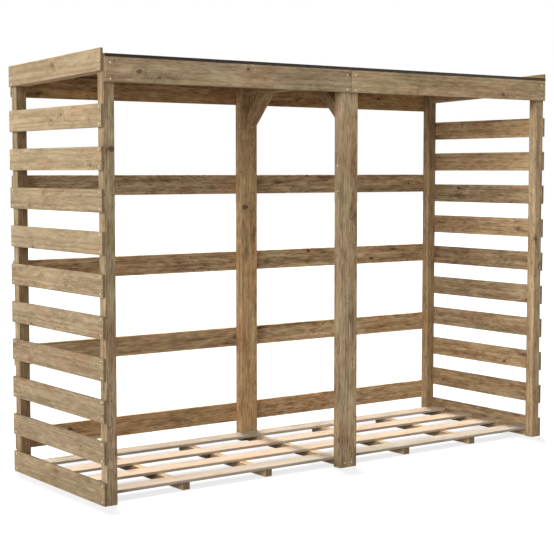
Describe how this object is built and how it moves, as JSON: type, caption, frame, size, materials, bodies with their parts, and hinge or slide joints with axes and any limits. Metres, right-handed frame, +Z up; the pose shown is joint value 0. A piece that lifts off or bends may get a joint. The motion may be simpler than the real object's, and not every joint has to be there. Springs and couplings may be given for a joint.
{
  "type": "log store",
  "caption": "Open-fronted timber log store with two bays, slatted ends, a railed back, a slatted floor on bearers and a low lean-to roof of smoked twin-wall sheet.",
  "frame": {"origin": "on the ground, at the middle of the footprint", "axes": "+X along the store to the right seen from the front, +Y from the open front to the back, +Z up"},
  "size_m": [2.42, 0.826, 1.757],
  "materials": {
    "treated_pine": "sawn and planed pressure-treated pine, weathering to grey-tan",
    "pale_pine": "planed pale pine",
    "smoked_sheet": "dark smoked twin-wall sheet, satin"
  },
  "bodies": {
    "root": {"back_brace": "treated_pine", "back_centre_left_post": "treated_pine", "back_centre_right_post": "treated_pine", "back_left_post": "treated_pine", "back_rail_1": "treated_pine", "back_rail_2": "treated_pine", "back_rail_3": "treated_pine", "back_rail_4": "treated_pine", "back_right_post": "treated_pine", "back_top_rail_left": "treated_pine", "back_top_rail_right": "treated_pine", "centre_rafter": "treated_pine", "floor_bearers": "treated_pine", "floor_slat_1": "pale_pine", "floor_slat_2": "pale_pine", "floor_slat_3": "pale_pine", "floor_slat_4": "pale_pine", "front_brace": "treated_pine", "front_centre_left_post": "treated_pine", "front_centre_right_post": "treated_pine", "front_left_post": "treated_pine", "front_right_post": "treated_pine", "left_barge_board": "treated_pine", "left_fascia": "treated_pine", "left_rafter": "treated_pine", "left_roof_sheet": "smoked_sheet", "left_slat_01": "treated_pine", "left_slat_02": "treated_pine", "left_slat_03": "treated_pine", "left_slat_04": "treated_pine", "left_slat_05": "treated_pine", "left_slat_06": "treated_pine", "left_slat_07": "treated_pine", "left_slat_08": "treated_pine", "left_slat_09": "treated_pine", "left_slat_10": "treated_pine", "right_barge_board": "treated_pine", "right_fascia": "treated_pine", "right_rafter": "treated_pine", "right_roof_sheet": "smoked_sheet", "right_slat_01": "treated_pine", "right_slat_02": "treated_pine", "right_slat_03": "treated_pine", "right_slat_04": "treated_pine", "right_slat_05": "treated_pine", "right_slat_06": "treated_pine", "right_slat_07": "treated_pine", "right_slat_08": "treated_pine", "right_slat_09": "treated_pine", "right_slat_10": "treated_pine"}
  },
  "joints": []
}
